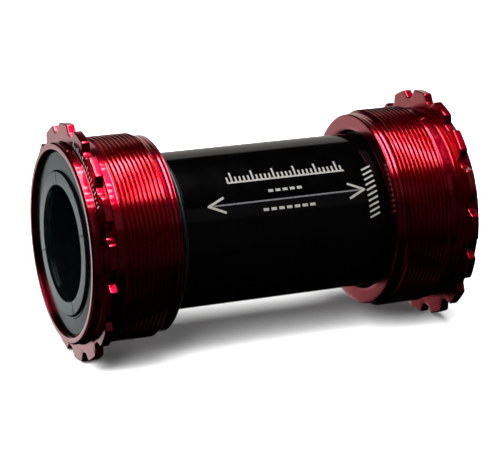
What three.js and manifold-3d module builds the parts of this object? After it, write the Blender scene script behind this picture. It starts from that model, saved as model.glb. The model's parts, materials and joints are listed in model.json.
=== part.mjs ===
// Threaded bottom bracket with a telescoping centre sleeve, for a 24 mm crank spindle.
// Units are millimetres. The spindle axis is X, +Z is up, and the origin is on the axis
// halfway between the two cups. +X is the right cup's side.
import * as THREE from "three";
import { mergeVertices } from "three/addons/utils/BufferGeometryUtils.js";
import Module from "manifold-3d";

const wasm = await Module();
wasm.setup();

// Driving dimensions
const FACETS = 32; // flats round each turned piece
const SHELL_WIDTH = 82.5; // distance between the flange faces that seat on the frame
const THREAD_RADIUS = 22.5; // M45 thread, crest
const THREAD_ROOT = 21.9;
const THREAD_PITCH = 1;
const THREAD_TURNS = 10;
const FLANGE_RADIUS = 26;
const FLANGE_THICKNESS = 1.9;
const NOTCH_COUNT = 16; // tool notches in each flange
const SPINDLE_RADIUS = 12; // the crank spindle that runs through the bracket
const BEARING_BORE = 12.55; // radii of the thin-section bearing
const BEARING_OUTSIDE = 18.5;
const BEARING_WIDTH = 7;
const PITCH_RADIUS = 15.5; // circle of the ball centres
const BALL_RADIUS = 1.75;
const BALL_COUNT = 17;
const FIT_GAP = 0.1; // between pieces that are fitted together
const RUNNING_GAP = 0.3; // between pieces that turn past each other

// Cup, as distances from the bracket's middle and radii
const CUP_END = 24.92; // inboard end face
const CUP_EDGE = 0.25; // chamfer of the inboard edges
const CUP_BORE = 18.1; // slides over the sleeve's O-rings
const CUP_BORE_END = 34.2;
const BEARING_STOP = 17.3; // radius of the rib behind the bearing
const LAND_RADIUS = 21.75; // plain lead-in ahead of the thread
const LAND_END = 27.3;
const FIRST_CREST = 28.4;
const SHOULDER_RADIUS = 22.1;
const SHOULDER_END = 39.9;
const RELIEF_RADIUS = 21.5;
const RELIEF_START = 40.2;
const FLANGE_FACE = SHELL_WIDTH / 2; // inboard face of the flange
const FLANGE_BACK = FLANGE_FACE + FLANGE_THICKNESS;
const LIP_RADIUS = 22; // raised ring outside the flange
const LIP_FRONT = 45.43;
const LIP_EDGE = 0.35;
const POCKET_RADIUS = 20.4; // recess that holds the dust cover
const POCKET_EDGE = 0.2;

// Bearing
const BEARING_CENTRE = 39.8;
const RACE_LAND = 1.2; // how far the races' shoulders stand from the pitch circle
const RACE_ENDS = [BEARING_CENTRE - BEARING_WIDTH / 2, BEARING_CENTRE + BEARING_WIDTH / 2];

// Tool notches, measured on the flange's rim
const NOTCH_BOTTOM = 24.15; // distance of the notch's floor from the axis
const NOTCH_FLOOR = 0.95; // half the floor's width
const NOTCH_MOUTH = 2.4; // half the width at the rim
const NOTCH_ANGLE = { left: 3.4, right: 10.2 }; // turn of the first notch, from +Y towards +Z

// Dust cover and spindle sleeve
const COVER_INSIDE = 16;
const COVER_BACK = 43.55;
const COVER_RIM_FRONT = 44.2;
const COVER_FRONT = 44.5;
const HAT_RADIUS = 15.7; // flange of the spindle sleeve
const HAT_FRONT = 45;
const HAT_WALL = 0.4;
const HAT_MOUTH = 12.85; // radius of the chamfered mouth
const HAT_MOUTH_DEPTH = 0.7;

// Centre sleeve and its O-rings
const SLEEVE_RADIUS = 17.4;
const SLEEVE_BORE = 15.7;
const SLEEVE_LEFT = -31.6;
const SLEEVE_RIGHT = 32.2;
const SLEEVE_EDGE = 0.3;
const O_RING_SECTION = 0.55; // radius of the rubber's round section
const O_RING_CIRCLE = 17.35; // radius of the section's centre line
const O_RING_PLACE = { left: -22.9, right: 26.6 };

const FINISHES = {
  redAluminium: { color: 0x8f0018, roughness: 0.32, metalness: 0.9 },
  blackAluminium: { color: 0x0c0c0e, roughness: 0.4, metalness: 0.6 },
  blackCover: { color: 0x1a1d1f, roughness: 0.45, metalness: 0.3 },
  steel: { color: 0xa9adb1, roughness: 0.25, metalness: 1 },
  rubber: { color: 0x101012, roughness: 0.7, metalness: 0 },
  cage: { color: 0xc9b98f, roughness: 0.6, metalness: 0 },
  ceramic: { color: 0x2b2d30, roughness: 0.1, metalness: 0 },
};

// Turned shape about X from corner points [distance along X, radius], listed so that the
// outline runs round the material and closes on itself.
function turned(corners) {
  const outline = corners.map(([x, r]) => new THREE.Vector2(r, x)).reverse();
  outline.push(outline[0].clone());
  const shape = new THREE.LatheGeometry(outline, FACETS);
  shape.rotateZ(-Math.PI / 2);
  return shape;
}

// Turned ring with square corners.
function ring(x0, x1, inside, outside) {
  return turned([
    [x0, inside],
    [x1, inside],
    [x1, outside],
    [x0, outside],
  ]);
}

function toSolid(geometry) {
  const bare = geometry.index ? geometry.clone() : geometry;
  bare.deleteAttribute("normal");
  bare.deleteAttribute("uv");
  const merged = mergeVertices(bare, 1e-4);
  return new wasm.Manifold(
    new wasm.Mesh({
      numProp: 3,
      vertProperties: new Float32Array(merged.attributes.position.array),
      triVerts: new Uint32Array(merged.index.array),
    }),
  );
}

function toGeometry(solid) {
  const mesh = solid.getMesh();
  const geometry = new THREE.BufferGeometry();
  geometry.setAttribute("position", new THREE.BufferAttribute(mesh.vertProperties, 3));
  geometry.setIndex(new THREE.BufferAttribute(mesh.triVerts, 1));
  return geometry;
}

// Flange disc with its tool notches. The outline lies in the YZ plane and is extruded along X.
function flange(firstNotch) {
  const outline = new THREE.Shape();
  const corner = (angle, along, across) => [
    along * Math.cos(angle) - across * Math.sin(angle),
    along * Math.sin(angle) + across * Math.cos(angle),
  ];
  for (let k = 0; k < NOTCH_COUNT; k++) {
    const angle = THREE.MathUtils.degToRad(firstNotch + (k * 360) / NOTCH_COUNT);
    const half = Math.asin(NOTCH_MOUTH / FLANGE_RADIUS);
    const start = corner(angle - half, FLANGE_RADIUS, 0);
    if (k === 0) outline.moveTo(...start);
    else outline.lineTo(...start);
    outline.lineTo(...corner(angle, NOTCH_BOTTOM, -NOTCH_FLOOR));
    outline.lineTo(...corner(angle, NOTCH_BOTTOM, NOTCH_FLOOR));
    outline.lineTo(...corner(angle + half, FLANGE_RADIUS, 0));
    const middle = angle + Math.PI / NOTCH_COUNT;
    outline.lineTo(...corner(middle, FLANGE_RADIUS, 0));
  }
  outline.closePath();
  const hole = new THREE.Path();
  const holeRadius = (BEARING_OUTSIDE + RELIEF_RADIUS) / 2;
  for (let k = 0; k < FACETS; k++) {
    const angle = (-k * 2 * Math.PI) / FACETS;
    const point = corner(angle, holeRadius, 0);
    if (k === 0) hole.moveTo(...point);
    else hole.lineTo(...point);
  }
  hole.closePath();
  outline.holes.push(hole);
  const disc = new THREE.ExtrudeGeometry(outline, {
    depth: FLANGE_THICKNESS,
    bevelEnabled: false,
  });
  const intoPlace = new THREE.Matrix4().set(
    0, 0, 1, FLANGE_FACE,
    1, 0, 0, 0,
    0, 1, 0, 0,
    0, 0, 0, 1,
  );
  return disc.applyMatrix4(intoPlace);
}

// The cup's turned body: bore, bearing seat, cover pocket, lip, thread ridges and lead-in.
function cupBody() {
  const seatStart = RACE_ENDS[0] - FIT_GAP;
  const seatEnd = RACE_ENDS[1] + FIT_GAP;
  const seat = BEARING_OUTSIDE + FIT_GAP;
  const corners = [
    [CUP_END, CUP_BORE + CUP_EDGE],
    [CUP_END + CUP_EDGE, CUP_BORE],
    [CUP_BORE_END, CUP_BORE],
    [CUP_BORE_END, BEARING_STOP],
    [seatStart, BEARING_STOP],
    [seatStart, seat],
    [seatEnd, seat],
    [seatEnd, POCKET_RADIUS],
    [LIP_FRONT - POCKET_EDGE, POCKET_RADIUS],
    [LIP_FRONT, POCKET_RADIUS + POCKET_EDGE],
    [LIP_FRONT, LIP_RADIUS - LIP_EDGE],
    [LIP_FRONT - LIP_EDGE, LIP_RADIUS],
    [FLANGE_BACK - FLANGE_THICKNESS / 2, LIP_RADIUS],
    [FLANGE_BACK - FLANGE_THICKNESS / 2, RELIEF_RADIUS],
    [RELIEF_START, RELIEF_RADIUS],
    [SHOULDER_END, SHOULDER_RADIUS],
  ];
  const lastRoot = FIRST_CREST + (THREAD_TURNS - 0.5) * THREAD_PITCH;
  corners.push([lastRoot, SHOULDER_RADIUS]);
  for (let turn = THREAD_TURNS - 1; turn >= 0; turn--) {
    const crest = FIRST_CREST + turn * THREAD_PITCH;
    corners.push([crest, THREAD_RADIUS]);
    corners.push([crest - THREAD_PITCH / 2, THREAD_ROOT]);
  }
  corners.push([LAND_END, LAND_RADIUS]);
  corners.push([CUP_END + CUP_EDGE, LAND_RADIUS]);
  corners.push([CUP_END, LAND_RADIUS - CUP_EDGE]);
  return turned(corners);
}

function cup(side) {
  // The left cup is the same turning facing the other way, so its notches run the other way too.
  const firstNotch = side === "right" ? NOTCH_ANGLE.right : 180 - NOTCH_ANGLE.left;
  return toGeometry(toSolid(cupBody()).add(toSolid(flange(firstNotch))));
}

function dustCover() {
  return turned([
    [COVER_BACK, COVER_INSIDE],
    [COVER_FRONT, COVER_INSIDE],
    [COVER_RIM_FRONT, POCKET_RADIUS - FIT_GAP],
    [COVER_BACK, POCKET_RADIUS - FIT_GAP],
  ]);
}

// Flanged liner that the spindle runs in. It turns with the bearing's inner race.
function spindleSleeve() {
  const bore = SPINDLE_RADIUS + FIT_GAP / 2;
  return turned([
    [RACE_ENDS[0], bore],
    [HAT_FRONT - HAT_MOUTH_DEPTH, bore],
    [HAT_FRONT, HAT_MOUTH],
    [HAT_FRONT, HAT_RADIUS],
    [COVER_BACK, HAT_RADIUS],
    [COVER_BACK, bore + HAT_WALL],
    [RACE_ENDS[0], bore + HAT_WALL],
  ]);
}

// Points of a ball groove on the side of a race, from -X to +X. Side 1 is the outer race.
function grooveCorners(landRadius, side) {
  const grooveRadius = BALL_RADIUS + RUNNING_GAP / 2;
  const depth = Math.abs(landRadius - PITCH_RADIUS);
  const reach = Math.acos(depth / grooveRadius);
  const steps = 4;
  const corners = [];
  for (let i = 0; i <= steps; i++) {
    const angle = -reach + (2 * reach * i) / steps;
    corners.push([
      BEARING_CENTRE + grooveRadius * Math.sin(angle),
      PITCH_RADIUS + side * grooveRadius * Math.cos(angle),
    ]);
  }
  return corners;
}

function outerRace() {
  const land = PITCH_RADIUS + RACE_LAND;
  return turned([
    [RACE_ENDS[0], land],
    ...grooveCorners(land, 1),
    [RACE_ENDS[1], land],
    [RACE_ENDS[1], BEARING_OUTSIDE],
    [RACE_ENDS[0], BEARING_OUTSIDE],
  ]);
}

function innerRace() {
  const land = PITCH_RADIUS - RACE_LAND;
  return turned([
    [RACE_ENDS[0], BEARING_BORE],
    [RACE_ENDS[1], BEARING_BORE],
    [RACE_ENDS[1], land],
    ...grooveCorners(land, -1).reverse(),
    [RACE_ENDS[0], land],
  ]);
}

// Lip seal between the races; side is 1 for the outboard one.
function bearingSeal(side) {
  const thickness = 0.5;
  const middle = BEARING_CENTRE + side * (BEARING_WIDTH / 2 - thickness);
  return ring(middle - thickness / 2, middle + thickness / 2, PITCH_RADIUS - 1, PITCH_RADIUS + 1);
}

function ballPlace(k) {
  const angle = (k * 2 * Math.PI) / BALL_COUNT;
  return [BEARING_CENTRE, PITCH_RADIUS * Math.cos(angle), PITCH_RADIUS * Math.sin(angle)];
}

// Crown cage: a thin ring with a ball pocket open towards +X for each ball.
function cage() {
  const back = BEARING_CENTRE - 2.5;
  const front = BEARING_CENTRE + 0.5;
  const halfDepth = 0.75;
  let body = toSolid(ring(back, front, PITCH_RADIUS - halfDepth, PITCH_RADIUS + halfDepth));
  for (let k = 0; k < BALL_COUNT; k++) {
    const pocket = new THREE.SphereGeometry(BALL_RADIUS + RUNNING_GAP / 2, 8, 6);
    pocket.rotateX((k * 2 * Math.PI) / BALL_COUNT);
    pocket.translate(...ballPlace(k));
    body = body.subtract(toSolid(pocket));
  }
  return toGeometry(body);
}

function ball(k) {
  const shape = new THREE.SphereGeometry(BALL_RADIUS, 8, 6);
  shape.rotateX((k * 2 * Math.PI) / BALL_COUNT);
  return shape;
}

function centreSleeve() {
  const grooveFloor = O_RING_CIRCLE - O_RING_SECTION - FIT_GAP;
  const halfGroove = O_RING_SECTION + FIT_GAP;
  const groove = (middle) => [
    [middle + halfGroove, SLEEVE_RADIUS],
    [middle + halfGroove, grooveFloor],
    [middle - halfGroove, grooveFloor],
    [middle - halfGroove, SLEEVE_RADIUS],
  ];
  return turned([
    [SLEEVE_LEFT, SLEEVE_BORE],
    [SLEEVE_RIGHT, SLEEVE_BORE],
    [SLEEVE_RIGHT, SLEEVE_RADIUS - SLEEVE_EDGE],
    [SLEEVE_RIGHT - SLEEVE_EDGE, SLEEVE_RADIUS],
    ...groove(O_RING_PLACE.right),
    ...groove(O_RING_PLACE.left),
    [SLEEVE_LEFT + SLEEVE_EDGE, SLEEVE_RADIUS],
    [SLEEVE_LEFT, SLEEVE_RADIUS - SLEEVE_EDGE],
  ]);
}

function oRing() {
  const shape = new THREE.TorusGeometry(O_RING_CIRCLE, O_RING_SECTION, 8, FACETS);
  return shape.rotateY(Math.PI / 2);
}

function named(name, geometry, finish) {
  const mesh = new THREE.Mesh(geometry, new THREE.MeshStandardMaterial(FINISHES[finish]));
  mesh.name = name;
  return mesh;
}

const bracket = new THREE.Group();
bracket.add(named("center_sleeve", centreSleeve(), "blackAluminium"));

for (const side of ["left", "right"]) {
  const half = new THREE.Group();
  half.add(named(`${side}_cup`, cup(side), "redAluminium"));
  half.add(named(`${side}_dust_cover`, dustCover(), "blackCover"));
  half.add(named(`${side}_spindle_sleeve`, spindleSleeve(), "blackCover"));
  half.add(named(`${side}_outer_race`, outerRace(), "steel"));
  half.add(named(`${side}_inner_race`, innerRace(), "steel"));
  half.add(named(`${side}_outboard_bearing_seal`, bearingSeal(1), "rubber"));
  half.add(named(`${side}_inboard_bearing_seal`, bearingSeal(-1), "rubber"));
  half.add(named(`${side}_ball_cage`, cage(), "cage"));
  for (let k = 0; k < BALL_COUNT; k++) {
    const piece = named(`${side}_ball_${String(k + 1).padStart(2, "0")}`, ball(k), "ceramic");
    piece.position.set(...ballPlace(k));
    half.add(piece);
  }
  // Half a turn about Z faces the left half outwards the other way.
  if (side === "left") half.rotation.z = Math.PI;
  bracket.add(half);
  const sleeveRing = named(`${side}_sleeve_o_ring`, oRing(), "rubber");
  sleeveRing.position.x = O_RING_PLACE[side];
  bracket.add(sleeveRing);
}

export default bracket;
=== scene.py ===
# Visual model of a threaded bottom bracket with a telescoping centre sleeve.
# Outlines are in millimetres, as the distance from the bracket's middle along the spindle
# axis X and the radius about it. Angles round the axis run from +Y towards +Z. Both halves
# are drawn as the right one, and the left one is turned half a turn about Z.
import json
import math

import bpy
import numpy as np
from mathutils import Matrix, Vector


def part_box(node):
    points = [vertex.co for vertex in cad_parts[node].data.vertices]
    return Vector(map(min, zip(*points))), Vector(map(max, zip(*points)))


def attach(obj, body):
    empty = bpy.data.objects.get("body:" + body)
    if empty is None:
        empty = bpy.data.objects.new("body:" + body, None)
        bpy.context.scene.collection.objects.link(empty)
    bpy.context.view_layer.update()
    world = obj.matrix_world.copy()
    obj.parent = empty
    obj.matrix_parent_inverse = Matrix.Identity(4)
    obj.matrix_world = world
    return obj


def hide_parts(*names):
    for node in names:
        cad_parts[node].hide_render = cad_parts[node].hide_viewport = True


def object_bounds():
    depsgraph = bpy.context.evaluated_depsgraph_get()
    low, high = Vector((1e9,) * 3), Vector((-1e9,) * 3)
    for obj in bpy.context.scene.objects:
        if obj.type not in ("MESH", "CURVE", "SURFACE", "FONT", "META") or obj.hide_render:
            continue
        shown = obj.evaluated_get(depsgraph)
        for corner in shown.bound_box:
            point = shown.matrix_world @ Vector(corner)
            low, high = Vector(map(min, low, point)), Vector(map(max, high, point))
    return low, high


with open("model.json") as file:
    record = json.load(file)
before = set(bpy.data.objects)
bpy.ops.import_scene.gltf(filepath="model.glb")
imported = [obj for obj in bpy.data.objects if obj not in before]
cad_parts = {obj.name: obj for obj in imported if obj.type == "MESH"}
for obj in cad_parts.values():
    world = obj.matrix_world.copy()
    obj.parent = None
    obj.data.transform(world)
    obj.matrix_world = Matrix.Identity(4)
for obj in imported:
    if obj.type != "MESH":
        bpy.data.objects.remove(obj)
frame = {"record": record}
cad_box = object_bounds()

MM = 0.001
SIDES = ("left", "right")
PLAIN_COLUMNS = 288  # facets round a piece with no notches
ROUND_STEPS = 4  # facets across an eased corner
SHARP_ANGLE = 38  # degrees between two faces whose edge stays sharp
MOUNTS = {mount["name"]: mount for mount in frame["record"]["mounts"]}


def reach(node):
    """Lowest x, highest x and outer radius of a CAD node, in millimetres."""
    low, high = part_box(node)
    return low.x / MM, high.x / MM, high.z / MM


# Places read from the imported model
CUP_END, LIP_FRONT, _ = reach("right_cup")
FLANGE_FACE = MOUNTS["right_frame_face"]["pos_m"][0] / MM
FLANGE_BACK = MOUNTS["right_tool_face"]["pos_m"][0] / MM
HAT_START, HAT_FRONT, HAT_RADIUS = reach("right_spindle_sleeve")
COVER_BACK, COVER_FRONT, COVER_RADIUS = reach("right_dust_cover")
RACE_START, RACE_END, BEARING_OUTSIDE = reach("right_outer_race")
SLEEVE_LEFT, SLEEVE_RIGHT, SLEEVE_RADIUS = reach("center_sleeve")
BEARING_CENTRE = (RACE_START + RACE_END) / 2

# Easings: how far back from a corner its round starts
CRISP = 0.08
NEAT = 0.1
SOFT = 0.12
ROUND = 0.2
FILLET = 0.3

# Cup
FIT_GAP = 0.1  # between a piece and the pocket or groove that holds it
CUP_BORE = 18.1
CUP_BORE_END = 34.2
CUP_CHAMFER = 0.25
BEARING_STOP = 17.3
LAND_RADIUS = 21.75
LAND_END = 27.3
LAND_MARGIN = 0.12  # from the lead-in's last row of points to the land's first
TOOL_LINES = (26.5, 25.5)
SHOULDER_RADIUS = 22.1
SHOULDER_MARGIN = 0.1  # from the thread's last row of points to the shoulder's first
SHOULDER_END = 39.9
RELIEF_RADIUS = 21.5
RELIEF_START = 40.2
RELIEF_EASE = 0.15
LIP_RADIUS = 22
LIP_CHAMFER = 0.35
POCKET_RADIUS = COVER_RADIUS + FIT_GAP
POCKET_CHAMFER = 0.22
TOOL_LINE_HALF = 0.13
TOOL_LINE_DEPTH = 0.07
FACE_BAND = 1.2  # where a flat face has a row of points, in from its edge
FLANGE_BAND = 0.9  # the same on the flange, out from the lip's foot

# Thread
THREAD_CREST = 22.5
THREAD_ROOT = 21.88
THREAD_PITCH = 1
THREAD_END = 38.35
THREAD_FADE = 0.8  # length over which the thread runs out into the shoulder
FLANK_END = 0.44  # where a flank meets the root, in pitches from the crest
FLANK_WIDTH = 0.38
LEAD_IN_SLOPE = 0.9
THREAD_ROWS = 11  # rows of points along one pitch
FIRST_CREST = 28.4
CREST_ANGLE = {"left": 50, "right": 130}  # angle round the cup where a crest is at FIRST_CREST
THREAD_HAND = {"left": -1, "right": 1}

# Flange and its tool notches, which are wider at the mouth than at the floor
FLANGE_RADIUS = 26
NOTCH_COUNT = 16
NOTCH_BOTTOM = 24.15
NOTCH_FLOOR = 0.95  # half the width at the floor
NOTCH_MOUTH = 2.4  # half the width at the rim
NOTCH_MOUTH_EASE = 0.35
NOTCH_FLOOR_EASE = 0.4
FIRST_NOTCH = {"left": 176.6, "right": 10.2}  # angle round the cup
TOOTH_EDGE = 0.3  # easing of the rim's two edges
TOOTH_BAND = 0.3

# Spindle sleeve: a tube with a flanged hat. Depths are below the hat's face
BORE = 12.05
HAT_WALL = 0.4
HAT_MOUTH = 12.85  # radius of the bore where it meets the hat's face
HAT_RIM_EASE = 0.16
BORE_STEP = 0.3
BORE_STEP_DEPTH = 1.25
BORE_STEP_TOP = 0.95
BORE_FLARE_DEPTH = 0.6
PARTING_LINES = (102.5, -63.5, 21.5, -159)  # angles of the lines across the hat's face
PARTING_HALF = 0.3  # degrees from the middle of a line to its side
PARTING_DEPTH = 0.05
FACE_REACH = 0.02  # rows of points within this depth count as the hat's face
PARTING_CLEAR = 0.006  # radians that other columns of points keep from a line

# Dust cover
COVER_INSIDE = 16
COVER_DISH = 0.12  # how far the face has sunk where it meets the step at the rim
COVER_STEP = 0.12
COVER_STEP_START = 0.45  # in from the rim
COVER_STEP_END = 0.3
BEAD_WIDTH = 0.35  # out from the mouth
BEAD_FOOT = 0.5
BEAD_HEIGHT = 0.06

# Bearing
PITCH_RADIUS = 15.5
BALL_RADIUS = 1.75
BALL_COUNT = 17
RACE_LAND = 1.2  # from the pitch radius to each race's land
RACE_CORNER = 0.35
GROOVE_RADIUS = 1.9
GROOVE_POINTS = 17
BEARING_BORE = 12.55
SEAL_HALF = 1
SEAL_GROOVE_TOP = 0.45  # half the groove's width at its top and at its floor
SEAL_GROOVE_FLOOR = 0.3
SEAL_GROOVE_DEPTH = 0.15
CAGE_HALF = 0.75  # half the cage's thickness
CAGE_EDGE = ((0.12, 0), (0.03, 0.06), (0, 0.15))  # points (back from the edge, in from the side)

# Centre sleeve
SLEEVE_BORE = 15.7
SLEEVE_BORE_EASE = 0.25
SLEEVE_CHAMFER = 0.3
O_RING_PLACE = {"left": -22.9, "right": 26.6}
O_RING_SECTION = 0.55  # radius of the ring's section
O_RING_CIRCLE = 17.35  # radius of the circle through the sections' middles
O_RING_FLASH = 1.03  # times the section's radius at the flash line
O_RING_EASE = 0.06


# Shapes

def rounded(corners, closed=True):
    """An outline with its corners eased. A corner is (x, r) or (x, r, easing), where easing
    is how far back from the corner the round starts."""
    points = []
    for k, corner in enumerate(corners):
        here = np.array(corner[:2], float)
        at_end = not closed and k in (0, len(corners) - 1)
        if len(corner) == 2 or at_end:
            points.append(here)
            continue
        before = np.array(corners[k - 1][:2], float) - here
        after = np.array(corners[(k + 1) % len(corners)][:2], float) - here
        start = here + before * corner[2] / np.linalg.norm(before)
        end = here + after * corner[2] / np.linalg.norm(after)
        for t in np.linspace(0, 1, ROUND_STEPS + 1):
            points.append((1 - t) ** 2 * start + 2 * t * (1 - t) * here + t ** 2 * end)
    return np.array(points)


def turned_rows(outline, angles):
    """Points of an outline turned about X, as rows x columns x 3."""
    x = np.repeat(outline[:, :1], len(angles), axis=1)
    r = outline[:, 1:2]
    return np.stack([x, r * np.cos(angles), r * np.sin(angles)], axis=-1)


def mesh_object(name, points, faces):
    """A smooth-shaded object from points in millimetres, with its faces turned outwards."""
    mesh = bpy.data.meshes.new(name)
    mesh.from_pydata((points * MM).tolist(), [], faces.tolist())
    mesh.update()
    mesh.calc_loop_triangles()
    corners = np.empty(len(mesh.loop_triangles) * 3, np.int32)
    mesh.loop_triangles.foreach_get("vertices", corners)
    a, b, c = points[corners.reshape(-1, 3)].transpose(1, 0, 2)
    if np.einsum("ij,ij->i", a, np.cross(b, c)).sum() < 0:
        mesh.flip_normals()
    mesh.shade_smooth()
    mesh.set_sharp_from_angle(angle=math.radians(SHARP_ANGLE))
    piece = bpy.data.objects.new(name, mesh)
    bpy.context.scene.collection.objects.link(piece)
    normals = piece.modifiers.new("normals", "WEIGHTED_NORMAL")
    normals.keep_sharp = True
    return piece


def ring_object(name, rows, side="right"):
    """An object from rows of points that close on themselves both ways."""
    turn = np.array([-1, -1, 1]) if side == "left" else np.array([1, 1, 1])
    count, columns = rows.shape[:2]
    place = np.arange(count * columns).reshape(count, columns)
    down = np.roll(place, -1, axis=0)
    faces = np.stack([place, np.roll(place, -1, axis=1), np.roll(down, -1, axis=1), down], axis=-1)
    return mesh_object(name, rows.reshape(-1, 3) * turn, faces.reshape(-1, 4))


def turned(name, corners, side="right"):
    """A turned piece from a closed outline of corners."""
    angles = np.linspace(0, 2 * math.pi, PLAIN_COLUMNS, endpoint=False)
    return ring_object(name, turned_rows(rounded(corners), angles), side)


def flange_outline(first_notch):
    """Points (y, z) round the notched flange."""
    period = 2 * math.pi / NOTCH_COUNT
    half_mouth = math.asin(NOTCH_MOUTH / FLANGE_RADIUS)
    tooth = np.linspace(-period / 2, -half_mouth, 5)
    corners = [(FLANGE_RADIUS * math.cos(a), FLANGE_RADIUS * math.sin(a)) for a in tooth[:-1]]
    corners.append((FLANGE_RADIUS * math.cos(half_mouth), -NOTCH_MOUTH, NOTCH_MOUTH_EASE))
    corners.append((NOTCH_BOTTOM, -NOTCH_FLOOR, NOTCH_FLOOR_EASE))
    corners.append((NOTCH_BOTTOM, 0))
    half = rounded(corners, closed=False)
    other = half[-2:0:-1] * (1, -1)
    one = np.concatenate([half, other])
    outline = []
    for k in range(NOTCH_COUNT):
        angle = math.radians(first_notch) + k * period
        c, s = math.cos(angle), math.sin(angle)
        outline.append(one @ np.array([[c, s], [-s, c]]))
    return np.concatenate(outline)


def rim_rows(outline, edge):
    """Rows of the flange's rim, from its outboard face to its inboard one. edge holds points
    (x, inset), and a row is the outline moved in by its inset."""
    along = np.roll(outline, -1, axis=0) - np.roll(outline, 1, axis=0)
    along /= np.linalg.norm(along, axis=1)[:, None]
    outward = np.stack([along[:, 1], -along[:, 0]], axis=1)
    rows = []
    for x, inset in edge:
        moved = outline - outward * inset
        rows.append(np.column_stack([np.full(len(moved), x), moved]))
    return np.array(rows)


def smooth_step(value):
    """0 below 0 and 1 above 1, with an eased rise between."""
    t = np.clip(value, 0, 1)
    return t * t * (3 - 2 * t)


def thread_rows(side, angles):
    """Rows along the thread, from its outboard end to its lead-in."""
    count = round((THREAD_END - LAND_END) / THREAD_PITCH * THREAD_ROWS)
    x = np.linspace(THREAD_END, LAND_END, count + 1)[:, None]
    turns = (angles - math.radians(CREST_ANGLE[side])) / (2 * math.pi)
    phase = (x - FIRST_CREST) / THREAD_PITCH + THREAD_HAND[side] * turns[None, :]
    from_crest = np.abs(phase - np.round(phase))
    height = smooth_step((FLANK_END - from_crest) / FLANK_WIDTH)
    radius = THREAD_ROOT + (THREAD_CREST - THREAD_ROOT) * height
    lead_in = LAND_RADIUS + (x - LAND_END) * LEAD_IN_SLOPE
    radius = np.minimum(radius, lead_in)
    fade = smooth_step((x - THREAD_END + THREAD_FADE) / THREAD_FADE)
    radius = radius * (1 - fade) + SHOULDER_RADIUS * fade
    x = np.repeat(x, len(angles), axis=1)
    return np.stack([x, radius * np.cos(angles), radius * np.sin(angles)], axis=-1)


def cup_inside():
    """From the cup's inboard end, through its bore, seat and pocket, to the foot of its lip."""
    seat = BEARING_OUTSIDE + FIT_GAP
    return rounded([
        (CUP_END, CUP_BORE + FACE_BAND),
        (CUP_END, CUP_BORE + CUP_CHAMFER, CRISP),
        (CUP_END + CUP_CHAMFER, CUP_BORE, CRISP),
        (CUP_BORE_END, CUP_BORE),
        (CUP_BORE_END, BEARING_STOP, ROUND),
        (RACE_START - FIT_GAP, BEARING_STOP, ROUND),
        (RACE_START - FIT_GAP, seat),
        (RACE_END + FIT_GAP, seat, ROUND),
        (RACE_END + FIT_GAP, POCKET_RADIUS),
        (LIP_FRONT - POCKET_CHAMFER, POCKET_RADIUS, CRISP),
        (LIP_FRONT, POCKET_RADIUS + POCKET_CHAMFER, CRISP),
        (LIP_FRONT, LIP_RADIUS - LIP_CHAMFER, SOFT),
        (LIP_FRONT - LIP_CHAMFER, LIP_RADIUS, SOFT),
        (FLANGE_BACK, LIP_RADIUS, FILLET),
        (FLANGE_BACK, LIP_RADIUS + FLANGE_BAND),
    ], closed=False)


def flange_edge():
    """Points (x, inset) across the flange's rim. The outer corners only aim its two rounds."""
    return rounded([
        (FLANGE_BACK, TOOTH_EDGE + TOOTH_BAND),
        (FLANGE_BACK, 0, TOOTH_EDGE),
        (FLANGE_FACE, 0, TOOTH_EDGE),
        (FLANGE_FACE, TOOTH_EDGE + TOOTH_BAND),
    ], closed=False)[1:-1]


def relief_and_shoulder():
    """From the flange's inboard face to the end of the thread."""
    return rounded([
        (FLANGE_FACE, RELIEF_RADIUS + FACE_BAND),
        (FLANGE_FACE, RELIEF_RADIUS, FILLET),
        (RELIEF_START, RELIEF_RADIUS, RELIEF_EASE),
        (SHOULDER_END, SHOULDER_RADIUS, NEAT),
        (THREAD_END + SHOULDER_MARGIN, SHOULDER_RADIUS),
    ], closed=False)


def plain_land():
    """From the thread's lead-in, past the tool lines, to the cup's inboard end."""
    corners = [(LAND_END - LAND_MARGIN, LAND_RADIUS)]
    for x in TOOL_LINES:
        corners += [
            (x + TOOL_LINE_HALF, LAND_RADIUS),
            (x, LAND_RADIUS - TOOL_LINE_DEPTH),
            (x - TOOL_LINE_HALF, LAND_RADIUS),
        ]
    corners += [
        (CUP_END + CUP_CHAMFER, LAND_RADIUS, CRISP),
        (CUP_END, LAND_RADIUS - CUP_CHAMFER, CRISP),
        (CUP_END, LAND_RADIUS - FACE_BAND),
    ]
    return rounded(corners, closed=False)


def cup(side):
    """The cup: bore, bearing seat and lip, then the notched flange, the thread and the land."""
    outline = flange_outline(FIRST_NOTCH[side])
    angles = np.unwrap(np.arctan2(outline[:, 1], outline[:, 0]))
    rows = [
        turned_rows(cup_inside(), angles),
        rim_rows(outline, flange_edge()),
        turned_rows(relief_and_shoulder(), angles),
        thread_rows(side, angles),
        turned_rows(plain_land(), angles),
    ]
    return ring_object(f"{side}_threaded_cup", np.concatenate(rows), side)


def angle_apart(first, second):
    """How far apart two angles are, in radians from 0 to half a turn."""
    return np.abs((first - second + math.pi) % (2 * math.pi) - math.pi)


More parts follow.
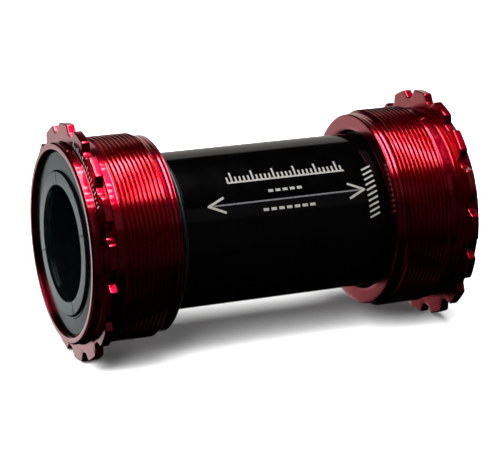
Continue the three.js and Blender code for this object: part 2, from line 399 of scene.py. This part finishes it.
def spindle_sleeve(side):
    """The flanged liner, with fine parting lines across the face of its hat."""
    corners = [
        (HAT_START, BORE, NEAT),
        (HAT_FRONT - BORE_STEP_DEPTH, BORE, NEAT),
        (HAT_FRONT - BORE_STEP_TOP, BORE + BORE_STEP, CRISP),
        (HAT_FRONT - BORE_FLARE_DEPTH, BORE + BORE_STEP, CRISP),
        (HAT_FRONT, HAT_MOUTH, SOFT),
        (HAT_FRONT, HAT_RADIUS, HAT_RIM_EASE),
        (COVER_BACK, HAT_RADIUS, NEAT),
        (COVER_BACK, BORE + HAT_WALL, ROUND),
        (HAT_START, BORE + HAT_WALL, NEAT),
    ]
    lines = np.radians(PARTING_LINES)
    if side == "right":
        lines = math.pi - lines
    spread = np.radians([-PARTING_HALF, 0, PARTING_HALF])
    at_lines = (lines[:, None] + spread).ravel() % (2 * math.pi)
    even = np.linspace(0, 2 * math.pi, PLAIN_COLUMNS, endpoint=False)
    apart = angle_apart(at_lines[:, None], even).min(axis=0)
    clear = even[apart > PARTING_CLEAR]
    angles = np.sort(np.concatenate([clear, at_lines]))
    rows = turned_rows(rounded(corners), angles)
    in_line = angle_apart(angles[:, None], lines).min(axis=1) < 1e-6
    on_face = rows[..., 0] > HAT_FRONT - FACE_REACH
    rows[..., 0] -= np.where(on_face & in_line, PARTING_DEPTH, 0)
    return ring_object(f"{side}_flanged_spindle_liner", rows, side)


def dust_cover(side):
    """The dished cover ring, with a raised bead round its mouth and a step at its rim."""
    dish_front = COVER_FRONT - COVER_DISH
    return turned(f"{side}_dished_dust_cover", [
        (COVER_BACK, COVER_INSIDE, NEAT),
        (COVER_FRONT, COVER_INSIDE, SOFT),
        (COVER_FRONT, COVER_INSIDE + BEAD_WIDTH, NEAT),
        (COVER_FRONT - BEAD_HEIGHT, COVER_INSIDE + BEAD_FOOT, NEAT),
        (dish_front, COVER_RADIUS - COVER_STEP_START, NEAT),
        (dish_front - COVER_STEP, COVER_RADIUS - COVER_STEP_END, CRISP),
        (dish_front - COVER_STEP, COVER_RADIUS, NEAT),
        (COVER_BACK, COVER_RADIUS, NEAT),
    ], side)


def groove(land, outward):
    """Points across a ball groove, from -X to +X."""
    reach_angle = math.acos(abs(land - PITCH_RADIUS) / GROOVE_RADIUS)
    return [
        (
            BEARING_CENTRE + GROOVE_RADIUS * math.sin(a),
            PITCH_RADIUS + outward * GROOVE_RADIUS * math.cos(a),
        )
        for a in np.linspace(-reach_angle, reach_angle, GROOVE_POINTS)
    ]


def outer_race(side):
    land = PITCH_RADIUS + RACE_LAND
    return turned(f"{side}_ground_outer_race", [
        (RACE_START, land, CRISP),
        *groove(land, 1),
        (RACE_END, land, CRISP),
        (RACE_END, BEARING_OUTSIDE, RACE_CORNER),
        (RACE_START, BEARING_OUTSIDE, RACE_CORNER),
    ], side)


def inner_race(side):
    land = PITCH_RADIUS - RACE_LAND
    return turned(f"{side}_ground_inner_race", [
        (RACE_START, BEARING_BORE, FILLET),
        (RACE_END, BEARING_BORE, FILLET),
        (RACE_END, land, CRISP),
        *groove(land, -1)[::-1],
        (RACE_START, land, CRISP),
    ], side)


def bearing_seal(side, place):
    """A moulded lip seal, with a ring groove on the face that shows."""
    low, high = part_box(f"right_{place}_bearing_seal")
    inner_face, outer_face = low.x / MM, high.x / MM
    if place == "inboard":
        inner_face, outer_face = outer_face, inner_face
    sink = SEAL_GROOVE_DEPTH * (1 if outer_face > inner_face else -1)
    middle = PITCH_RADIUS
    return turned(f"{side}_{place}_lip_seal", [
        (inner_face, middle - SEAL_HALF, CRISP),
        (outer_face, middle - SEAL_HALF, SOFT),
        (outer_face, middle - SEAL_GROOVE_TOP, CRISP),
        (outer_face - sink, middle - SEAL_GROOVE_FLOOR, CRISP),
        (outer_face - sink, middle + SEAL_GROOVE_FLOOR, CRISP),
        (outer_face, middle + SEAL_GROOVE_TOP, CRISP),
        (outer_face, middle + SEAL_HALF, SOFT),
        (inner_face, middle + SEAL_HALF, CRISP),
    ], side)


def crown_edge(front):
    """The crown cage's front edge, as the angle and x of points that dip round each ball."""
    period = 2 * math.pi / BALL_COUNT
    pocket = GROOVE_RADIUS / PITCH_RADIUS
    one = [(a, front) for a in np.linspace(-period / 2, -pocket, 5)]
    for t in np.linspace(0, math.pi, GROOVE_POINTS):
        one.append((pocket * -math.cos(t), BEARING_CENTRE - GROOVE_RADIUS * math.sin(t)))
    one += [(a, front) for a in np.linspace(pocket, period / 2, 5)[:-1]]
    points = [(k * period + angle, x) for k in range(BALL_COUNT) for angle, x in one]
    return np.array(points).T


def ball_cage(side):
    """The crown cage, with its sides eased into the front edge."""
    low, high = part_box("right_ball_cage")
    back = low.x / MM
    inner, outer = PITCH_RADIUS - CAGE_HALF, PITCH_RADIUS + CAGE_HALF
    angles, edge = crown_edge(high.x / MM)
    rows = []
    for x, r in ((back, inner), (back, outer)):
        rows.append((np.full(len(angles), x), r))
    for ease, inset in CAGE_EDGE:
        rows.append((edge - ease, outer - inset))
    for ease, inset in reversed(CAGE_EDGE):
        rows.append((edge - ease, inner + inset))
    grid = [np.column_stack([x, r * np.cos(angles), r * np.sin(angles)]) for x, r in rows]
    return ring_object(f"{side}_crown_cage", np.array(grid), side)


def ball_mesh():
    """A fine ball made by rounding a subdivided cube, so that it has no poles."""
    steps = 12
    t = np.tan(np.linspace(-math.pi / 4, math.pi / 4, steps + 1))
    u, v = np.meshgrid(t, t, indexing="ij")
    one = np.ones_like(u)
    points, faces = [], []
    for axis in range(3):
        for sign in (-1, 1):
            parts = [u, v]
            parts.insert(axis, sign * one)
            start = sum(len(p) for p in points)
            points.append(np.stack(parts, axis=-1).reshape(-1, 3))
            place = start + np.arange((steps + 1) ** 2).reshape(steps + 1, steps + 1)
            quads = np.stack([place[:-1, :-1], place[1:, :-1], place[1:, 1:], place[:-1, 1:]], axis=-1)
            faces.append(quads.reshape(-1, 4))
    points = np.concatenate(points)
    points /= np.linalg.norm(points, axis=1)[:, None]
    whole, merged = np.unique(np.round(points, 6), axis=0, return_inverse=True)
    faces = merged.reshape(-1)[np.concatenate(faces)]
    a, b, c = (whole[faces[:, k]] for k in range(3))
    inward = np.einsum("ij,ij->i", a, np.cross(b - a, c - a)) < 0
    faces[inward] = faces[inward][:, ::-1]
    piece = mesh_object("ball", whole * BALL_RADIUS, faces)
    mesh = piece.data
    bpy.data.objects.remove(piece)
    return mesh


def center_sleeve():
    """The telescoping sleeve, with a groove for each O-ring."""
    corners = [
        (SLEEVE_LEFT, SLEEVE_BORE, SLEEVE_BORE_EASE),
        (SLEEVE_RIGHT, SLEEVE_BORE, SLEEVE_BORE_EASE),
        (SLEEVE_RIGHT, SLEEVE_RADIUS - SLEEVE_CHAMFER, CRISP),
        (SLEEVE_RIGHT - SLEEVE_CHAMFER, SLEEVE_RADIUS, CRISP),
    ]
    floor = O_RING_CIRCLE - O_RING_SECTION - FIT_GAP
    half = O_RING_SECTION + FIT_GAP
    for middle in sorted(O_RING_PLACE.values(), reverse=True):
        corners += [
            (middle + half, SLEEVE_RADIUS, O_RING_EASE),
            (middle + half, floor, NEAT),
            (middle - half, floor, NEAT),
            (middle - half, SLEEVE_RADIUS, O_RING_EASE),
        ]
    corners += [
        (SLEEVE_LEFT + SLEEVE_CHAMFER, SLEEVE_RADIUS, CRISP),
        (SLEEVE_LEFT, SLEEVE_RADIUS - SLEEVE_CHAMFER, CRISP),
    ]
    return turned("telescoping_center_sleeve", corners)


def o_ring(side):
    """A moulded O-ring, with the faint flash line that its mould leaves inside and outside."""
    section = []
    for a in np.linspace(0, 2 * math.pi, 24, endpoint=False):
        at_flash = abs(math.sin(a)) > 0.99
        radius = O_RING_SECTION * (O_RING_FLASH if at_flash else 1)
        section.append((O_RING_PLACE[side] + radius * math.cos(a), O_RING_CIRCLE + radius * math.sin(a)))
    return turned(f"{side}_moulded_o_ring", section)


# Printed marks. Each is a thin bar of ink between two places on a face. A place is a length
# and an angle in degrees, up from -Y: along X on the sleeve, and from the axis on the flange.

INK = 0.02  # how far a bar stands out of its face, and how far it is sunk in
BAR_STEP = 0.8  # longest stretch of a bar with no point in it
FLANGE_MARKS = 23  # radius of the marks on the flange
SLEEVE_DEGREE = math.radians(1) * SLEEVE_RADIUS  # how long one degree is on each face
FLANGE_DEGREE = math.radians(1) * FLANGE_MARKS

ARROW_ANGLE = 31
ARROW_ENDS = (-16.8, 20.1)
ARROW_SHAFT_INSET = 1
ARROW_SHAFT_WIDTH = 0.34
ARROW_HEAD_WIDTH = 0.52
ARROW_HEAD = (3.8, 5.6)  # how far a head's stroke runs along X and in angle
ARROW_OVERLAP = (0.15, 0.25)  # how far the two strokes of a head cross at its tip

LINE_WIDTH = 0.42
RULER = (-11.2, 16.6)  # first and last x
RULER_ANGLE = 47.6
SHORT_TICK = 52.4  # the angle that a tick reaches
LONG_TICK = 56.6

DASH_WIDTH = 0.62
DASH_SHARE = 0.68  # the inked share of a dash's pitch
UPPER_DASHES = (-2.4, 6.1, 38, 5)  # first x, last x, angle and number
LOWER_DASHES = (-4.4, 8.5, 24.5, 7)

HATCH = (20.7, 23.1)  # first and last x
HATCH_ANGLES = np.arange(10, 49, 4)
HATCH_SLANT = 3

FLANGE_TICK_START = 22.3
FLANGE_TICK_ENDS = (23.1, 23.7)
FLANGE_TICK_ANGLES = np.arange(34, 81, 2.6)
FLANGE_TICK_WIDTH = 0.2


def on_sleeve(along, angle, height):
    """A point on the centre sleeve, from its place along X and its angle up from -Y."""
    radius = SLEEVE_RADIUS + height
    a = np.radians(angle)
    return along, -radius * np.cos(a), radius * np.sin(a)


def on_flange(radius, angle, height):
    """A point on the left flange's outboard face."""
    a = np.radians(angle)
    return -FLANGE_BACK - height, -radius * np.cos(a), radius * np.sin(a)


def bar(surface, start, end, width, degree):
    """Points and faces of a bar of ink from start to end. Places are (length, angle), and
    degree is how many millimetres one degree of angle is."""
    scale = np.array([1, degree])
    a, b = np.array(start) * scale, np.array(end) * scale
    ahead = (b - a) / np.linalg.norm(b - a)
    across = np.array([-ahead[1], ahead[0]]) * width / 2
    steps = max(1, math.ceil(np.linalg.norm(b - a) / BAR_STEP))
    points = []
    for t in np.linspace(0, 1, steps + 1):
        middle = a + (b - a) * t
        for offset, height in ((-1, -INK), (1, -INK), (1, INK), (-1, INK)):
            u, v = (middle + offset * across) / scale
            points.append(surface(u, v, height))
    faces = [(0, 1, 2, 3), tuple(4 * steps + k for k in (3, 2, 1, 0))]
    for step in range(steps):
        for k in range(4):
            here = 4 * step + k
            beside = 4 * step + (k + 1) % 4
            faces.append((here, here + 4, beside + 4, beside))
    return np.array(points), np.array(faces)


def printed(name, surface, bars, degree):
    """One object from many bars (start, end, width)."""
    points, faces = [], []
    count = 0
    for start, end, width in bars:
        new_points, new_faces = bar(surface, start, end, width, degree)
        points.append(new_points)
        faces.append(new_faces + count)
        count += len(new_points)
    piece = mesh_object(name, np.concatenate(points), np.concatenate(faces))
    piece.modifiers.clear()
    return piece


def arrow_shaft():
    left, right = ARROW_ENDS[0] + ARROW_SHAFT_INSET, ARROW_ENDS[1] - ARROW_SHAFT_INSET
    return [((left, ARROW_ANGLE), (right, ARROW_ANGLE), ARROW_SHAFT_WIDTH)]


def arrow_heads():
    bars = []
    for tip, inward in zip(ARROW_ENDS, (1, -1)):
        for up in (1, -1):
            start = (tip - inward * ARROW_OVERLAP[0], ARROW_ANGLE - up * ARROW_OVERLAP[1])
            end = (tip + inward * ARROW_HEAD[0], ARROW_ANGLE + up * ARROW_HEAD[1])
            bars.append((start, end, ARROW_HEAD_WIDTH))
    return bars


def ruler():
    """A scale with a tick every millimetre and a longer one every five."""
    left, right = RULER
    bars = [((left, RULER_ANGLE), (right, RULER_ANGLE), LINE_WIDTH)]
    for x in range(math.ceil(left), math.ceil(right)):
        top = LONG_TICK if x % 5 == 0 else SHORT_TICK
        bars.append(((x, RULER_ANGLE), (x, top), LINE_WIDTH))
    return bars


def dashes(x_start, x_end, angle, count):
    pitch = (x_end - x_start) / count
    bars = []
    for k in range(count):
        start = x_start + k * pitch
        end = x_start + (k + DASH_SHARE) * pitch
        bars.append(((start, angle), (end, angle), DASH_WIDTH))
    return bars


def end_hatch():
    """Bars round the sleeve where the cup's end may not pass."""
    left, right = HATCH
    return [((left, angle), (right, angle + HATCH_SLANT), LINE_WIDTH) for angle in HATCH_ANGLES]


def flange_ticks():
    """Index ticks round the flange's face, every third one longer."""
    short, long = FLANGE_TICK_ENDS
    bars = []
    for k, angle in enumerate(FLANGE_TICK_ANGLES):
        end = long if k % 3 == 0 else short
        bars.append(((FLANGE_TICK_START, angle), (end, angle), FLANGE_TICK_WIDTH))
    return bars


# Materials

class Nodes:
    """A material's node tree, written as calls."""

    def __init__(self, name):
        self.material = bpy.data.materials.new(name)
        self.material.use_nodes = True
        self.tree = self.material.node_tree
        self.tree.nodes.clear()

    def add(self, kind, inputs=None, **settings):
        """A new node. An input is a value, or a socket to link."""
        node = self.tree.nodes.new("ShaderNode" + kind)
        for key, value in settings.items():
            setattr(node, key, value)
        for key, value in (inputs or {}).items():
            if isinstance(value, bpy.types.NodeSocket):
                self.tree.links.new(value, node.inputs[key])
            else:
                node.inputs[key].default_value = value
        return node

    def math(self, operation, *values):
        """One sum of values or sockets, such as ADD or MULTIPLY."""
        return self.add("Math", dict(enumerate(values)), operation=operation).outputs[0]

    def range(self, value, low, high, to_low, to_high):
        """value from low..high moved to to_low..to_high and held there."""
        inputs = {0: value, 1: low, 2: high, 3: to_low, 4: to_high}
        return self.add("MapRange", inputs).outputs[0]

    def mix(self, factor, first, second):
        """A colour between two colours or sockets."""
        node = self.add("Mix", {0: factor}, data_type="RGBA")
        for socket, value in ((node.inputs[6], first), (node.inputs[7], second)):
            if isinstance(value, bpy.types.NodeSocket):
                self.tree.links.new(value, socket)
            else:
                socket.default_value = (*value, 1)
        return node.outputs[2]

    def finish(self, bump, inputs, coat_bump=False):
        """Closes the tree with a Principled shader and a bump of (height, depth in mm)."""
        height, depth = bump
        normal = self.add("Bump", {"Height": height, "Strength": 1, "Distance": depth * MM})
        shader = self.add("BsdfPrincipled", {"Normal": normal.outputs[0], **inputs})
        if coat_bump:
            self.tree.links.new(normal.outputs[0], shader.inputs["Coat Normal"])
        self.add("OutputMaterial", {0: shader.outputs[0]})
        return self.material


def places(nodes):
    """The point, its distance from the bracket's middle and its radius, in millimetres."""
    point = nodes.add("TexCoord").outputs["Object"]
    scaled = nodes.add("VectorMath", {0: point, "Scale": 1 / MM}, operation="SCALE").outputs[0]
    x, y, z = nodes.add("SeparateXYZ", {0: scaled}).outputs
    square = nodes.math("ADD", nodes.math("MULTIPLY", y, y), nodes.math("MULTIPLY", z, z))
    return scaled, nodes.math("ABSOLUTE", x), nodes.math("SQRT", square)


def turning_marks(nodes, along, radius, per_mm):
    """Fine rings that a lathe tool leaves, as a height from 0 to 1."""
    across = nodes.math("ADD", along, radius)
    inputs = {"W": across, "Scale": per_mm, "Detail": 3}
    return nodes.add("TexNoise", inputs, noise_dimensions="1D").outputs[0]


def mottle(nodes, point, per_mm, detail=4):
    """Cloudy variation from 0 to 1, per_mm clouds to a millimetre."""
    return nodes.add("TexNoise", {"Vector": point, "Scale": per_mm, "Detail": detail}).outputs[0]


def edge_wear(nodes):
    """1 on the sharp outer edges of a piece and 0 elsewhere."""
    pointiness = nodes.add("NewGeometry").outputs["Pointiness"]
    return nodes.range(pointiness, 0.53, 0.6, 0, 1)


def red_anodised():
    """Dyed and sealed aluminium: polished at the flange and the lip, as turned elsewhere."""
    nodes = Nodes("red_anodised_aluminium")
    point, along, radius = places(nodes)
    marks = turning_marks(nodes, along, radius, 7)
    cloud = mottle(nodes, point, 0.35)
    grain = mottle(nodes, point, 9, 2)
    as_turned = nodes.range(along, THREAD_END - 0.2, THREAD_END + 0.2, 1, 0.08)
    wear = nodes.math("MULTIPLY", edge_wear(nodes), nodes.range(grain, 0.35, 0.6, 0.1, 0.5))
    dye = nodes.mix(cloud, (0.45, 0.0005, 0.016), (0.56, 0.0008, 0.022))
    colour = nodes.mix(wear, dye, (0.85, 0.12, 0.14))
    tangent = nodes.add("Tangent", direction_type="RADIAL", axis="X").outputs[0]
    return nodes.finish((nodes.math("MULTIPLY", marks, as_turned), 0.004), {
        "Base Color": colour,
        "Metallic": 1,
        "Roughness": nodes.range(marks, 0.3, 0.7, 0.21, 0.28),
        "Anisotropic": 0.6,
        "Anisotropic Rotation": 0.25,
        "Tangent": tangent,
        "Coat Weight": 1,
        "Coat Roughness": 0.08,
        "Coat IOR": 1.42,
    }, coat_bump=True)


def black_anodised():
    """Glossy black aluminium, with faint turning marks and a few specks of dust."""
    nodes = Nodes("black_anodised_aluminium")
    point, along, radius = places(nodes)
    marks = turning_marks(nodes, along, radius, 5)
    cloud = mottle(nodes, point, 0.22)
    dust = nodes.range(mottle(nodes, point, 3.5, 3), 0.68, 0.74, 0, 1)
    colour = nodes.mix(cloud, (0.0001, 0.0001, 0.00015), (0.0003, 0.0003, 0.0004))
    colour = nodes.mix(nodes.math("MULTIPLY", dust, 0.02), colour, (0.05, 0.05, 0.05))
    smooth = nodes.range(cloud, 0.3, 0.7, 0.08, 0.12)
    return nodes.finish((marks, 0.0004), {
        "Base Color": colour,
        "Roughness": nodes.math("ADD", smooth, nodes.math("MULTIPLY", dust, 0.1)),
        "IOR": 1.35,
    })


def black_plastic():
    """Moulded plastic with a fine grain, smoother on the liner's face and in its bore."""
    nodes = Nodes("black_moulded_plastic")
    point, along, radius = places(nodes)
    grain = mottle(nodes, point, 12, 3)
    cloud = mottle(nodes, point, 0.4)
    swirl = turning_marks(nodes, along, radius, 2.5)
    in_bore = nodes.range(radius, BORE + 0.1, BORE + 0.25, 0.08, 0)
    on_liner = nodes.range(radius, HAT_RADIUS + 0.05, HAT_RADIUS + 0.2, 0.02, 0)
    smoother = nodes.math("ADD", in_bore, on_liner)
    wear = nodes.math("MULTIPLY", edge_wear(nodes), 0.35)
    colour = nodes.mix(cloud, (0.0004, 0.0006, 0.0007), (0.001, 0.0015, 0.0016))
    colour = nodes.mix(wear, colour, (0.01, 0.013, 0.013))
    rough = nodes.range(cloud, 0.3, 0.7, 0.19, 0.24)
    matt = nodes.math("ADD", rough, nodes.range(swirl, 0.3, 0.7, -0.02, 0.02))
    return nodes.finish((nodes.math("ADD", grain, swirl), 0.0008), {
        "Base Color": colour,
        "Roughness": nodes.math("SUBTRACT", matt, smoother),
        "IOR": 1.56,
        # Painted reflection colour: reflections are tinted teal in place of the cool light that the
        # cover and liner mirror.
        "Specular Tint": (0.87, 1, 1, 1),
    })


def bearing_steel():
    """Ground steel, with fine rings from the wheel."""
    nodes = Nodes("ground_bearing_steel")
    point, along, radius = places(nodes)
    marks = turning_marks(nodes, along, radius, 14)
    cloud = mottle(nodes, point, 0.5)
    colour = nodes.mix(cloud, (0.5, 0.51, 0.52), (0.62, 0.62, 0.62))
    return nodes.finish((marks, 0.0006), {
        "Base Color": colour,
        "Metallic": 1,
        "Roughness": nodes.range(marks, 0.3, 0.7, 0.14, 0.26),
    })


def black_rubber():
    """Rubber with a fine grain and patches of bloom."""
    nodes = Nodes("black_rubber")
    point, *_ = places(nodes)
    grain = mottle(nodes, point, 14, 4)
    bloom = mottle(nodes, point, 0.6)
    return nodes.finish((grain, 0.004), {
        "Base Color": nodes.mix(bloom, (0.0006, 0.0009, 0.001), (0.002, 0.0026, 0.0028)),
        "Roughness": nodes.range(bloom, 0.3, 0.7, 0.28, 0.42),
        "IOR": 1.5,
        # Painted reflection colour: reflections are tinted teal in place of the cool light that the
        # rubber mirrors.
        "Specular Tint": (0.6, 0.95, 1, 1),
    })


def cage_plastic():
    """Pale moulded plastic that lets a little light in."""
    nodes = Nodes("moulded_cage_plastic")
    point, *_ = places(nodes)
    grain = mottle(nodes, point, 10, 3)
    flow = mottle(nodes, point, 0.8)
    return nodes.finish((grain, 0.002), {
        "Base Color": nodes.mix(flow, (0.45, 0.36, 0.2), (0.6, 0.5, 0.31)),
        "Roughness": nodes.range(grain, 0.3, 0.7, 0.45, 0.6),
        "Subsurface Weight": 0.1,
        "Subsurface Scale": 0.5 * MM,
    })


def ball_ceramic():
    """Dark polished ceramic."""
    nodes = Nodes("polished_silicon_nitride")
    point, *_ = places(nodes)
    cloud = mottle(nodes, point, 1.5)
    polish = mottle(nodes, point, 20, 2)
    return nodes.finish((polish, 0.0002), {
        "Base Color": nodes.mix(cloud, (0.018, 0.019, 0.02), (0.04, 0.041, 0.043)),
        "Roughness": nodes.range(polish, 0.3, 0.7, 0.05, 0.1),
        "IOR": 2.0,
    })


def ink(name, colour, thin):
    """Printed ink: matt, and thinner in places, where the black shows through."""
    nodes = Nodes(name)
    point, *_ = places(nodes)
    cover = nodes.range(mottle(nodes, point, 4, 5), 0.3, 0.55, 0, 1)
    return nodes.finish((mottle(nodes, point, 16, 2), 0.003), {
        "Base Color": nodes.mix(cover, thin, colour),
        "Roughness": nodes.range(cover, 0, 1, 0.6, 0.45),
    })


def stage_paper():
    """Pale paper with a faint fibre."""
    nodes = Nodes("studio_paper")
    point, *_ = places(nodes)
    fibre = mottle(nodes, point, 0.6, 5)
    return nodes.finish((fibre, 0.05), {
        "Base Color": nodes.mix(fibre, (0.78, 0.78, 0.78), (0.82, 0.82, 0.82)),
        "Roughness": 0.9,
        "Specular IOR Level": 0,
    })


# Assembly

RED = red_anodised()
BLACK = black_anodised()
PLASTIC = black_plastic()
STEEL = bearing_steel()
RUBBER = black_rubber()
CAGE = cage_plastic()
CERAMIC = ball_ceramic()
PALE_INK = ink("pale_ink", (0.115, 0.108, 0.1), (0.06, 0.057, 0.052))
GREY_INK = ink("grey_ink", (0.044, 0.044, 0.046), (0.017, 0.017, 0.018))
FLANGE_INK = ink("flange_ink", (0.25, 0.28, 0.275), (0.14, 0.16, 0.155))


def fit(piece, material, body, node=None):
    """Gives a piece its finish and the body it moves with, and hides the CAD node it stands for."""
    piece.data.materials.append(material)
    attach(piece, body)
    if node:
        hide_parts(node)


fit(center_sleeve(), BLACK, "sleeve", "center_sleeve")

for side in SIDES:
    cup_body = f"{side}_cup"
    spindle_body = f"{side}_spindle_sleeve"
    fit(cup(side), RED, cup_body, f"{side}_cup")
    fit(dust_cover(side), PLASTIC, cup_body, f"{side}_dust_cover")
    fit(outer_race(side), STEEL, cup_body, f"{side}_outer_race")
    for place in ("outboard", "inboard"):
        node = f"{side}_{place}_bearing_seal"
        fit(bearing_seal(side, place), RUBBER, cup_body, node)
    fit(spindle_sleeve(side), PLASTIC, spindle_body, f"{side}_spindle_sleeve")
    fit(inner_race(side), STEEL, spindle_body, f"{side}_inner_race")
    fit(ball_cage(side), CAGE, f"{side}_balls", f"{side}_ball_cage")
    fit(o_ring(side), RUBBER, "sleeve", f"{side}_sleeve_o_ring")

BALL = ball_mesh()
BALL.materials.append(CERAMIC)
for side in SIDES:
    for k in range(BALL_COUNT):
        node = f"{side}_ball_{k + 1:02d}"
        low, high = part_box(node)
        ball = bpy.data.objects.new(f"{side}_polished_ball_{k + 1:02d}", BALL)
        bpy.context.scene.collection.objects.link(ball)
        ball.location = (low + high) / 2
        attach(ball, f"{side}_balls")
        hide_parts(node)

labels = dashes(*UPPER_DASHES) + dashes(*LOWER_DASHES)
SLEEVE_MARKS = (
    ("sleeve_arrow_shaft", arrow_shaft(), GREY_INK),
    ("sleeve_arrow_heads", arrow_heads(), PALE_INK),
    ("sleeve_scale", ruler(), PALE_INK),
    ("sleeve_label_dashes", labels, PALE_INK),
    ("sleeve_end_hatch", end_hatch(), PALE_INK),
)
for name, bars, colour in SLEEVE_MARKS:
    fit(printed(name, on_sleeve, bars, SLEEVE_DEGREE), colour, "sleeve")
flange_marks = printed("flange_index_ticks", on_flange, flange_ticks(), FLANGE_DEGREE)
fit(flange_marks, FLANGE_INK, "left_cup")


# Stage, lights and camera

FLOOR_RADII = (0.1, 100, 400, 1200, 2200)  # rings of points on the flat floor
COVE = 800
WALL_TOP = 2000


def cyclorama():
    """A round floor that curves up into a wall far from the bracket."""
    floor_height = cad_box[0][2] / MM
    profile = [(r, 0) for r in FLOOR_RADII]
    for a in np.linspace(0, math.pi / 2, 9):
        profile.append((FLOOR_RADII[-1] + COVE * math.sin(a), COVE * (1 - math.cos(a))))
    profile.append((FLOOR_RADII[-1] + COVE, WALL_TOP))
    angles = np.linspace(0, 2 * math.pi, 64, endpoint=False)
    rows = [
        np.column_stack([
            r * np.cos(angles),
            r * np.sin(angles),
            np.full(len(angles), floor_height + z),
        ])
        for r, z in profile
    ]
    place = np.arange(len(rows) * len(angles)).reshape(len(rows), len(angles))
    beside = np.roll(place, -1, axis=1)
    faces = np.stack([place[:-1], beside[:-1], beside[1:], place[1:]], axis=-1).reshape(-1, 4)
    floor = mesh_object("studio_floor", np.concatenate(rows), faces)
    floor.modifiers.clear()
    floor.data.materials.append(stage_paper())
    floor.visible_glossy = False  # so that the metal mirrors the cards that reach below it


CARD_DISTANCE = 0.75
WHITE = (1, 1, 1)
WARM = (1, 0.97, 0.92)
COOL = (0.92, 1, 1)
NIGHT = (0.001, 0.001, 0.001, 1)


def softbox(name, place, target, size, radiance, colour=WHITE):
    """A rectangular area light. radiance is how bright its face looks."""
    light = bpy.data.lights.new(name, "AREA")
    light.shape = "RECTANGLE"
    light.size, light.size_y = size
    light.energy = radiance * math.pi * size[0] * size[1]
    light.color = colour
    lamp = bpy.data.objects.new(name, light)
    bpy.context.scene.collection.objects.link(lamp)
    lamp.location = place
    direction = Vector(target) - Vector(place)
    lamp.rotation_euler = direction.to_track_quat("-Z", "Y").to_euler()
    lamp.visible_camera = False
    return lamp


def card(name, across, height, radiance, colour=WHITE, front=False):
    """An upright glowing card behind the bracket, or in front of it, between two x and two z."""
    x, z = sum(across) / 2, sum(height) / 2
    size = (across[1] - across[0], height[1] - height[0])
    y = -CARD_DISTANCE if front else CARD_DISTANCE
    softbox(name, (x, y, z), (x, 0, z), size, radiance, colour)


def lighting():
    """A bright box overhead, dim cards for the metal and plastic to mirror, and a fill light."""
    softbox("key", (0.03, -0.12, 0.8), (0.03, -0.12, 0), (0.34, 0.75), 14.5)
    softbox("key_edge", (0.03, -0.55, 0.8), (0.03, -0.55, 0), (0.34, 0.11), 5)
    card("backdrop", (0, 1.2), (-0.16, 0.6), 0.5, WARM)
    card("backdrop_foot", (0, 1.2), (-0.52, -0.26), 0.2, WARM)
    card("left_card_top", (-0.33, 0), (-0.2, 0.04), 0.7, COOL)
    card("left_card_middle", (-0.33, 0), (-0.28, -0.2), 1.4, COOL)
    card("left_card_foot", (-0.33, 0), (-0.4, -0.28), 0.9, COOL)
    card("far_left_card", (-0.48, -0.33), (-0.21, 0.04), 0.5, COOL)
    card("front_high", (-0.1, 0.7), (0.35, 0.75), 0.12, front=True)
    card("front_low", (-0.1, 0.7), (-0.25, 0.35), 0.03, front=True)
    card("front_left", (-0.45, -0.25), (-0.15, 0.1), 0.12, front=True)
    softbox("low_card", (-0.2, -0.25, -0.2), (-0.2, -0.25, 1), (0.16, 0.7), 0.05)
    fill = softbox("fill", (-0.9, -0.6, 1.2), (0, 0, 0), (1.6, 1.6), 13)
    fill.visible_glossy = False  # it shows in no reflection, so it mostly lights the floor and inks
    world = bpy.data.worlds.new("studio")
    world.use_nodes = True
    background = world.node_tree.nodes["Background"]
    background.inputs["Color"].default_value = NIGHT
    background.inputs["Strength"].default_value = 1
    bpy.context.scene.world = world


SENSOR_WIDTH = 36
FOCAL_LENGTH = 151.9
CAMERA_PLACE = (-0.17932, -0.41726, 0.13096)
CAMERA_HEADING = 23.1584  # degrees from +Y towards +X
CAMERA_TILT = 16.1944  # degrees down from level


def camera():
    lens = bpy.data.cameras.new("camera")
    lens.sensor_width = SENSOR_WIDTH
    lens.lens = FOCAL_LENGTH
    lens.clip_start = 0.01
    eye = bpy.data.objects.new("camera", lens)
    bpy.context.scene.collection.objects.link(eye)
    eye.location = CAMERA_PLACE
    eye.rotation_euler = (math.radians(90 - CAMERA_TILT), 0, -math.radians(CAMERA_HEADING))
    bpy.context.scene.camera = eye


cyclorama()
lighting()
camera()
bpy.context.scene.view_settings.view_transform = "Standard"
